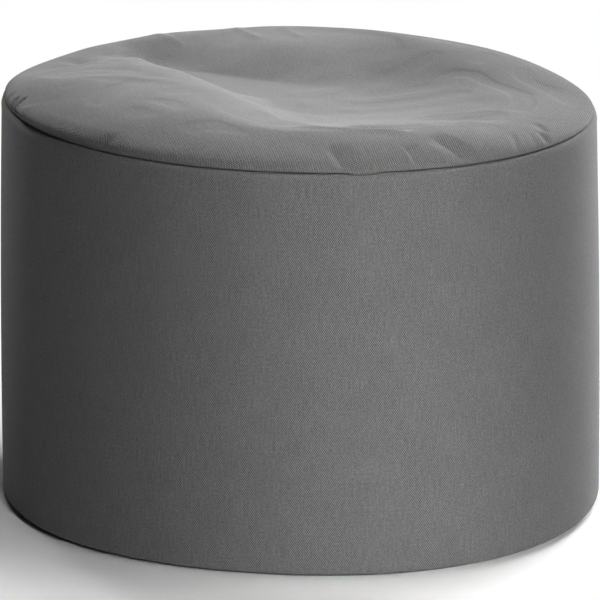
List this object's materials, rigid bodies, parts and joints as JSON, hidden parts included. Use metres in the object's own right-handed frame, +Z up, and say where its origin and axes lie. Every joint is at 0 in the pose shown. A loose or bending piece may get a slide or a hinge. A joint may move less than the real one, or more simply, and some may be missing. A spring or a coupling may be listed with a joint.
{
  "type": "bean bag footstool",
  "caption": "Round bean bag footstool: a bead-filled canvas drum with a sewn-in top that has settled into a soft seat hollow.",
  "frame": {"origin": "on the floor, under the middle of the stool", "axes": "+Z up through the stool, -Y towards its front, the side with the puckered seam"},
  "size_m": [0.4952, 0.5008, 0.3515],
  "materials": {
    "top_canvas": "matt plain-weave canvas, dark grey",
    "side_canvas": "matt plain-weave canvas, dark grey",
    "base_canvas": "matt plain-weave canvas, dark grey"
  },
  "bodies": {
    "root": {"top_panel": "top_canvas", "side_panel": "side_canvas", "base_panel": "base_canvas"}
  },
  "joints": []
}
